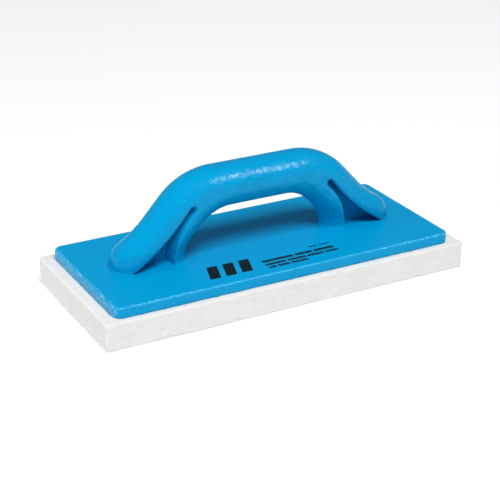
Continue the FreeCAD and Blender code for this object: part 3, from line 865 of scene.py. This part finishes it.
ink_black = mottled_material("ink_black", (0.006, 0.014, 0.016, 1), (0.0, 0.12, 0.22, 1),
                             speck_size=0.9 * MM, amount=0.35, gloss=0.45, bump_depth=0.01 * MM)
ink_lines = mottled_material("ink_lines", (0.010, 0.022, 0.026, 1), (0.0, 0.16, 0.32, 1),
                             speck_size=0.7 * MM, amount=0.55, gloss=0.5, bump_depth=0.01 * MM)
glue_milky = mottled_material("glue_milky", (0.62, 0.70, 0.74, 1), (0.80, 0.84, 0.85, 1),
                              speck_size=3.0 * MM, amount=0.6, gloss=0.35, bump_depth=0.05 * MM)
paper_white = mottled_material("paper_white", (0.45, 0.45, 0.45, 1), (0.44, 0.44, 0.44, 1),
                               speck_size=20.0 * MM, amount=0.5, gloss=0.85, bump_depth=0.02 * MM)
PAPER_GLOW = 0.59           # the paper is lit from below, as in a light tent
paper_shader = paper_white.node_tree.nodes["Principled BSDF"]
paper_shader.inputs["Emission Color"].default_value = (1, 1, 1, 1)
paper_shader.inputs["Emission Strength"].default_value = PAPER_GLOW
print("finishes:", [finish.name for finish in (ink_black, ink_lines, glue_milky, paper_white)])

# %% [markdown]
# ## Give every piece its material
# The three new pieces and the three CAD nodes that stay get one material each. A piece's old
# materials are cleared first, so that nothing of the plain frame shows through.

# %% Give every piece its material
def dress(piece, material):
    piece.data.materials.clear()
    piece.data.materials.append(material)


for piece, material in ((handle, handle_blue), (plate, plate_blue), (sponge, foam_white),
                        (nodes["adhesive_film"], glue_milky),
                        (nodes["printed_emblem"], ink_black), (nodes["printed_lines"], ink_lines)):
    dress(piece, material)
    print(piece.name, "wears", material.name)

# %% [markdown]
# ## Floor, light and surroundings
# The float stands on white paper, as a small product does in a light tent. The paper lies a
# hair under the working face, so that the two never touch.

# %% Floor
FLOOR_SIZE = 6.0
FLOOR_DROP = 0.05 * MM
floor = start(bpy.ops.mesh.primitive_plane_add, "floor", size=FLOOR_SIZE,
              location=(0, 0, -FLOOR_DROP))
edit(floor)
bpy.ops.mesh.select_all(action="SELECT")
bpy.ops.mesh.subdivide(number_cuts=3)
leave_edit()
dress(floor, paper_white)
print("floor:", len(floor.data.polygons), "faces")

# %% [markdown]
# ## Lamps and world
# A large soft lamp hangs overhead. A small one stands to the front right and draws the thin
# broken line of light along the grip. Two weak ones fill the front and the left end. The
# tent's walls are the world: white behind the float, and much dimmer as a light and in
# reflections, because a real tent has dark gaps round the lens.

# %% Lamps and world
def area_lamp(name, target, direction, distance, size, watts):
    """A square lamp at a distance from a point, facing it."""
    data = bpy.data.lights.new(name, "AREA")
    data.size, data.energy = size, watts
    lamp = bpy.data.objects.new(name, data)
    bpy.context.scene.collection.objects.link(lamp)
    toward = Vector(direction).normalized()
    lamp.location = Vector(target) + toward * distance
    lamp.rotation_euler = (-toward).to_track_quat("-Z", "Y").to_euler()
    return lamp


overhead = area_lamp("overhead", (0, 0, 0), direction=(-0.10, -0.50, 1.0),
                     distance=2.2, size=0.95, watts=48.0)
streak = area_lamp("streak", (0, 0, arch_top), direction=(0.42, -0.594, 0.676),
                   distance=1.6, size=0.22, watts=20.0)
front_fill = area_lamp("front_fill", (0, 0, 0), direction=(-0.3, -1.0, 0.20),
                       distance=1.3, size=0.7, watts=0.6)
left_fill = area_lamp("left_fill", (0, 0, 0), direction=(-1.0, 0.25, 0.08),
                      distance=1.3, size=0.7, watts=8.0)

for lamp in (overhead, front_fill, left_fill):
    lamp.visible_glossy = False     # these shine through the tent's cloth and show in no gloss
streak.visible_diffuse = False      # and this one is too small to light a matt face

world = bpy.data.worlds.new("tent")
bpy.context.scene.world = world
world.use_nodes = True
tree = world.node_tree
rays = add(tree, "LightPath")
backdrop = tree.nodes["Background"]
backdrop.inputs["Color"].default_value = (1, 1, 1, 1)
WALL_LIGHT, WALL_REFLECTION = 0.20, 0.10
level = stretch(tree, rays.outputs["Is Glossy Ray"], 0.0, 1.0, WALL_LIGHT, WALL_REFLECTION)
feed(tree, backdrop.inputs["Strength"],
     sums(tree, "MAXIMUM", level, rays.outputs["Is Camera Ray"]))
bpy.context.scene.view_settings.view_transform = "Standard"
